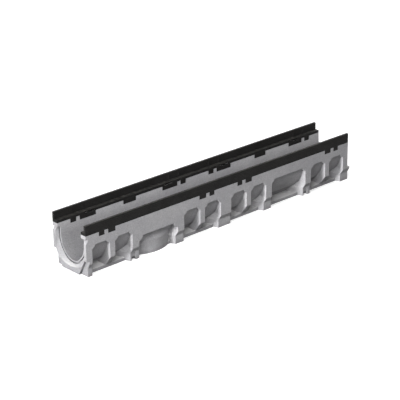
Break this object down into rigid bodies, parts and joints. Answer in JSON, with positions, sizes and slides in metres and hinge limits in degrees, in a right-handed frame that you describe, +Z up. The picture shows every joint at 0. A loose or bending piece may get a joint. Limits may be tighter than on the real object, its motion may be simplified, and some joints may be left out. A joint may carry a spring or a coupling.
{
  "type": "channel drain",
  "caption": "Drainage channel with ribbed and pocketed cast sides, egg-shaped trough, edge rails with grating seats, and a collared bottom outlet bay.",
  "frame": {"origin": "on the ground plane under the middle of the laying length, on the trough's centre plane", "axes": "+X along the channel from the socket end to the cradle end, +Y across it, +Z up"},
  "size_m": [1.009, 0.14, 0.15],
  "materials": {
    "polymer_concrete": "matt, cast",
    "cast_iron": "matt, dipped"
  },
  "bodies": {
    "root": {"channel_body": "polymer_concrete", "rail_far_start": "cast_iron", "rail_far_end": "cast_iron", "rail_near_start": "cast_iron", "rail_near_end": "cast_iron"}
  },
  "joints": []
}
